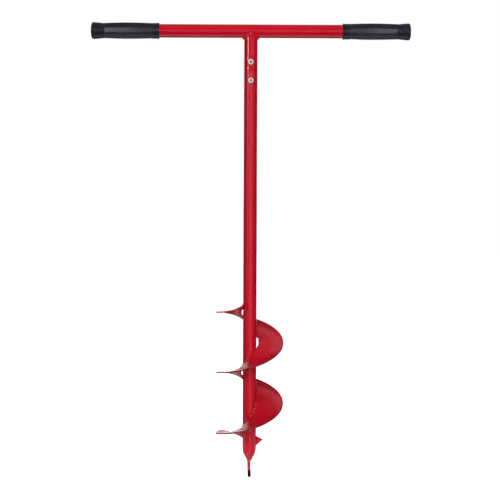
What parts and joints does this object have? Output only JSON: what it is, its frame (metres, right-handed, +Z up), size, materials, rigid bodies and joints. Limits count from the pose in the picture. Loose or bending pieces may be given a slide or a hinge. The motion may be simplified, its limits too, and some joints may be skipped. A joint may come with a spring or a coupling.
{
  "type": "hand auger",
  "caption": "Red T-handle hand auger with an open steel flight, a pilot point and black rubber grips, for boring holes in ice or soil.",
  "frame": {"origin": "on the shaft's axis, level with the pilot's tip", "axes": "+Z up the shaft from the tip to the crossbar, X along the crossbar, -Y towards the side the bolt heads face"},
  "size_m": [0.711, 0.15, 1.009],
  "materials": {
    "red_enamel": "glossy red baked enamel, with a fine orange peel",
    "red_enamel_shaft": "red baked enamel, lightly rubbed by soil",
    "red_enamel_flight": "red baked enamel on cut plate, thin and darker along the edges",
    "weld_enamel": "red enamel over rippled weld",
    "grip_rubber": "black moulded rubber with a satin skin",
    "zinc_bolt": "bright zinc plate",
    "zinc_nut": "zinc plate, a little duller",
    "nylon": "natural nylon",
    "bare_steel": "oiled drawn tube",
    "black_steel": "black hardened steel"
  },
  "bodies": {
    "root": {"crossbar_tube": "red_enamel", "left_grip": "grip_rubber", "right_grip": "grip_rubber", "handle_stub_tube": "red_enamel", "handle_weld_bead": "weld_enamel", "coupler_sleeve": "bare_steel", "shaft_tube": "red_enamel_shaft", "lower_bolt": "zinc_bolt", "upper_bolt": "zinc_bolt", "lower_washer": "zinc_nut", "upper_washer": "zinc_nut", "lower_lock_nut": "zinc_nut", "upper_lock_nut": "zinc_nut", "lower_nut_insert": "nylon", "upper_nut_insert": "nylon", "lower_flight": "red_enamel_flight", "middle_flight": "red_enamel_flight", "upper_flight": "red_enamel_flight", "lower_seam_weld": "weld_enamel", "upper_seam_weld": "weld_enamel", "flight_weld_bottom": "weld_enamel", "flight_weld_lower_front": "weld_enamel", "flight_weld_lower_back": "weld_enamel", "flight_weld_upper_front": "weld_enamel", "flight_weld_upper_back": "weld_enamel", "flight_weld_top": "weld_enamel", "side_cutter": "red_enamel_flight", "side_cutter_weld": "weld_enamel", "pilot_blade": "red_enamel_flight", "pilot_tip": "black_steel", "pilot_weld": "weld_enamel"}
  },
  "joints": []
}
